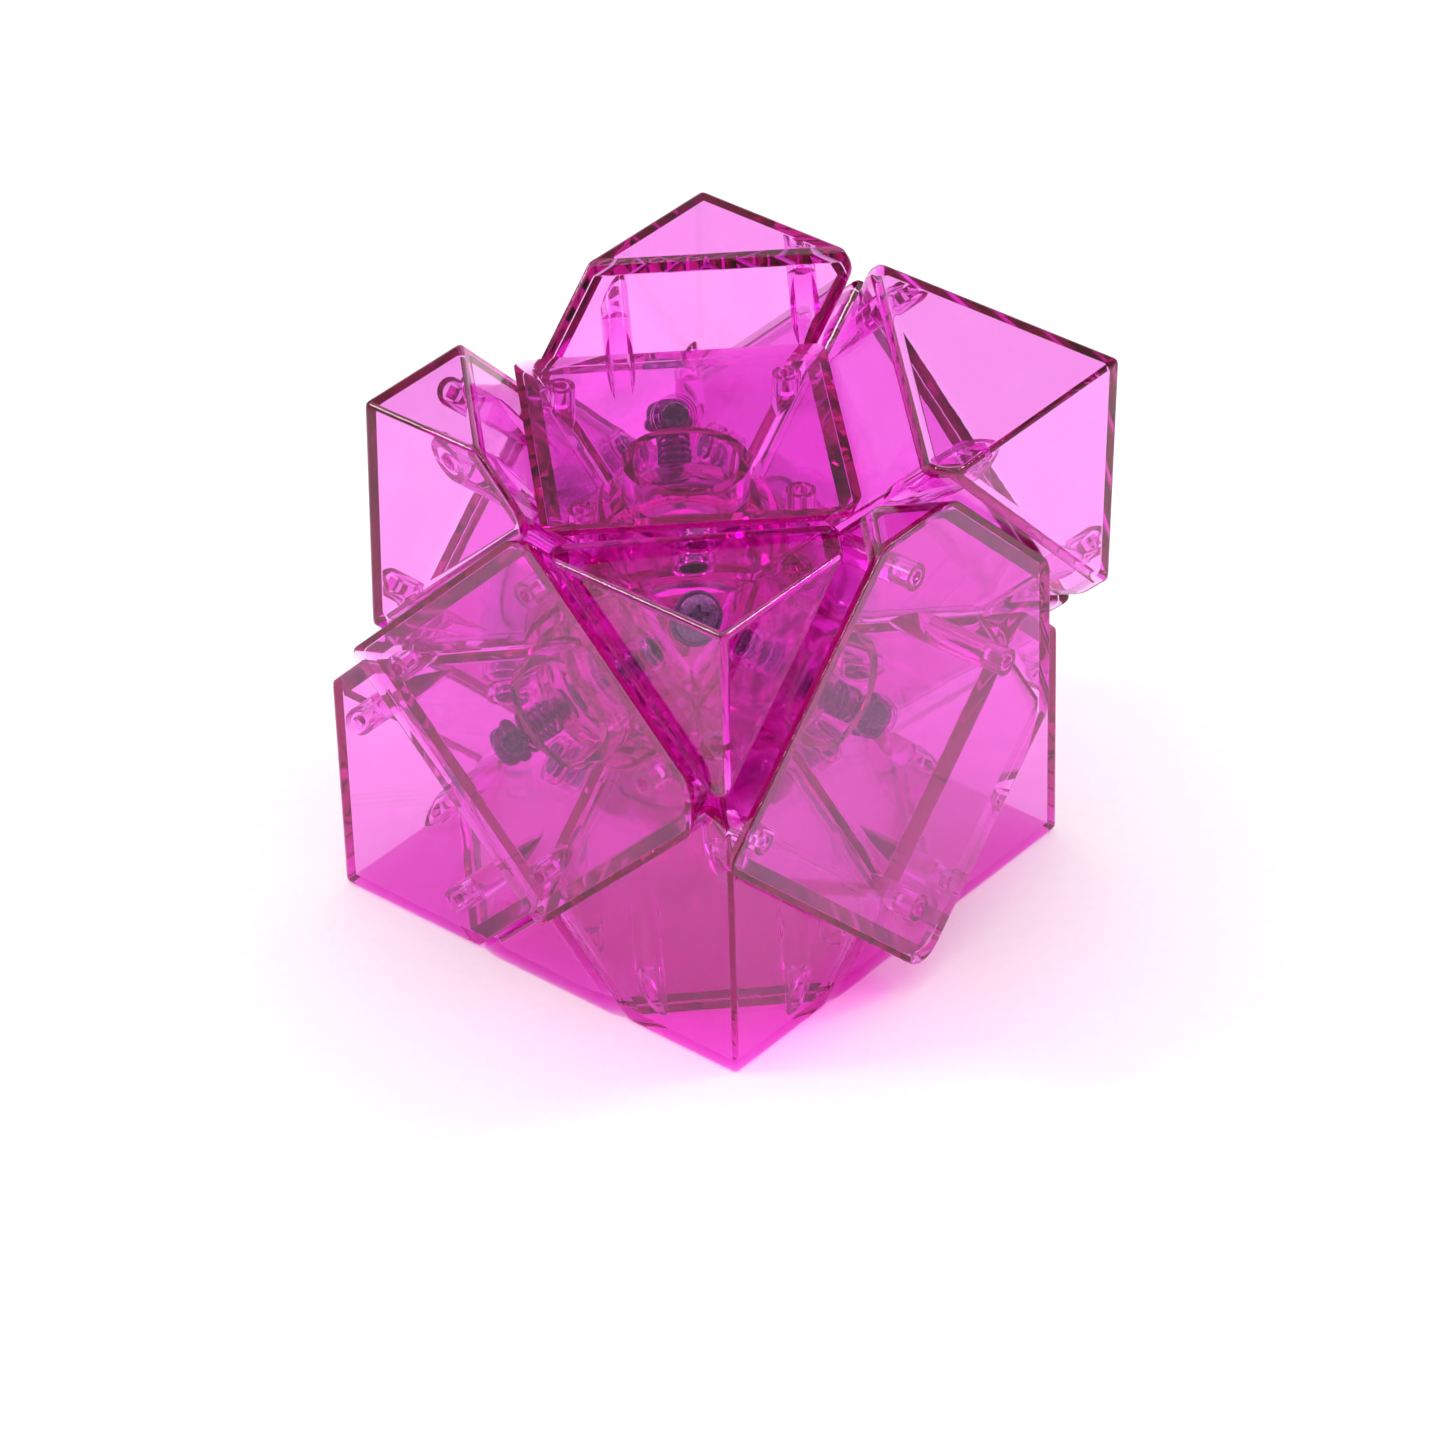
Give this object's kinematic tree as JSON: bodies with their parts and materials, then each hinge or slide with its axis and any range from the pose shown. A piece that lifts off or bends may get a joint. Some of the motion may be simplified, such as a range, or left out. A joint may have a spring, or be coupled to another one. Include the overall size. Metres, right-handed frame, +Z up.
{
  "type": "off-centre four-axis twisty puzzle cube",
  "caption": "Clear magenta twisty puzzle: corner and face-centre shells of different sizes turn in halves about an off-centre core with sprung, screwed corners.",
  "frame": {"origin": "on the flat face that the puzzle rests on, straight below the middle of the core", "axes": "+Z up, square to the rest face; X and Y along the other two edge directions of the solved cube"},
  "size_m": [0.0649, 0.0659, 0.0681],
  "materials": {
    "clear_shell": "clear injection-moulded polystyrene tinted magenta, polished outside",
    "clear_core": "clear injection-moulded plastic tinted magenta",
    "magnet": "nickel-plated disc magnet",
    "steel": "zinc-plated steel screw and washer",
    "spring_steel": "bright spring wire"
  },
  "bodies": {
    "lower_half": {"core": "clear_core", "core_screw_1": "steel", "core_screw_2": "steel", "core_screw_3": "steel", "core_screw_4": "steel", "screw_washer_1": "steel", "screw_washer_2": "steel", "screw_washer_3": "steel", "screw_washer_4": "steel", "floating_corner_1_cap": "clear_shell", "floating_corner_1_base": "clear_shell", "centre_2_cap": "clear_shell", "centre_2_base": "clear_shell", "centre_3_cap": "clear_shell", "centre_3_base": "clear_shell", "centre_6_cap": "clear_shell", "centre_6_base": "clear_shell"},
    "upper_half": {"floating_corner_2_cap": "clear_shell", "floating_corner_2_base": "clear_shell", "floating_corner_3_cap": "clear_shell", "floating_corner_3_base": "clear_shell", "floating_corner_4_cap": "clear_shell", "floating_corner_4_base": "clear_shell", "centre_1_cap": "clear_shell", "centre_1_base": "clear_shell", "centre_4_cap": "clear_shell", "centre_4_base": "clear_shell", "centre_5_cap": "clear_shell", "centre_5_base": "clear_shell"},
    "sprung_corner_1": {"fixed_corner_1_cap": "clear_shell", "fixed_corner_1_base": "clear_shell", "tension_spring_1": "spring_steel", "fixed_corner_1_magnet_a": "magnet", "fixed_corner_1_magnet_b": "magnet", "fixed_corner_1_magnet_c": "magnet"},
    "sprung_corner_2": {"fixed_corner_2_cap": "clear_shell", "fixed_corner_2_base": "clear_shell", "tension_spring_2": "spring_steel", "fixed_corner_2_magnet_a": "magnet", "fixed_corner_2_magnet_b": "magnet", "fixed_corner_2_magnet_c": "magnet"},
    "sprung_corner_3": {"fixed_corner_3_cap": "clear_shell", "fixed_corner_3_base": "clear_shell", "tension_spring_3": "spring_steel", "fixed_corner_3_magnet_a": "magnet", "fixed_corner_3_magnet_b": "magnet", "fixed_corner_3_magnet_c": "magnet"},
    "sprung_corner_4": {"fixed_corner_4_cap": "clear_shell", "fixed_corner_4_base": "clear_shell", "tension_spring_4": "spring_steel", "fixed_corner_4_magnet_a": "magnet", "fixed_corner_4_magnet_b": "magnet", "fixed_corner_4_magnet_c": "magnet"}
  },
  "joints": [
    {"name": "upper_half_turn", "type": "hinge", "parent": "lower_half", "child": "upper_half", "pos_m": [0, 0, 0.0345], "axis": [-0.5774, -0.5774, 0.5774], "continuous": true},
    {"name": "corner_1_lift", "type": "slide", "parent": "lower_half", "child": "sprung_corner_1", "axis": [0.5774, 0.5774, 0.5774], "range_m": [0, 0.0005], "stiffness_N_per_m": 2000, "springref_m": -0.001},
    {"name": "corner_2_lift", "type": "slide", "parent": "lower_half", "child": "sprung_corner_2", "axis": [0.5774, -0.5774, -0.5774], "range_m": [0, 0.0005], "stiffness_N_per_m": 2000, "springref_m": -0.001},
    {"name": "corner_3_lift", "type": "slide", "parent": "lower_half", "child": "sprung_corner_3", "axis": [-0.5774, 0.5774, -0.5774], "range_m": [0, 0.0005], "stiffness_N_per_m": 2000, "springref_m": -0.001},
    {"name": "corner_4_lift", "type": "slide", "parent": "upper_half", "child": "sprung_corner_4", "axis": [-0.5774, -0.5774, 0.5774], "range_m": [0, 0.0005], "stiffness_N_per_m": 2000, "springref_m": -0.001}
  ]
}
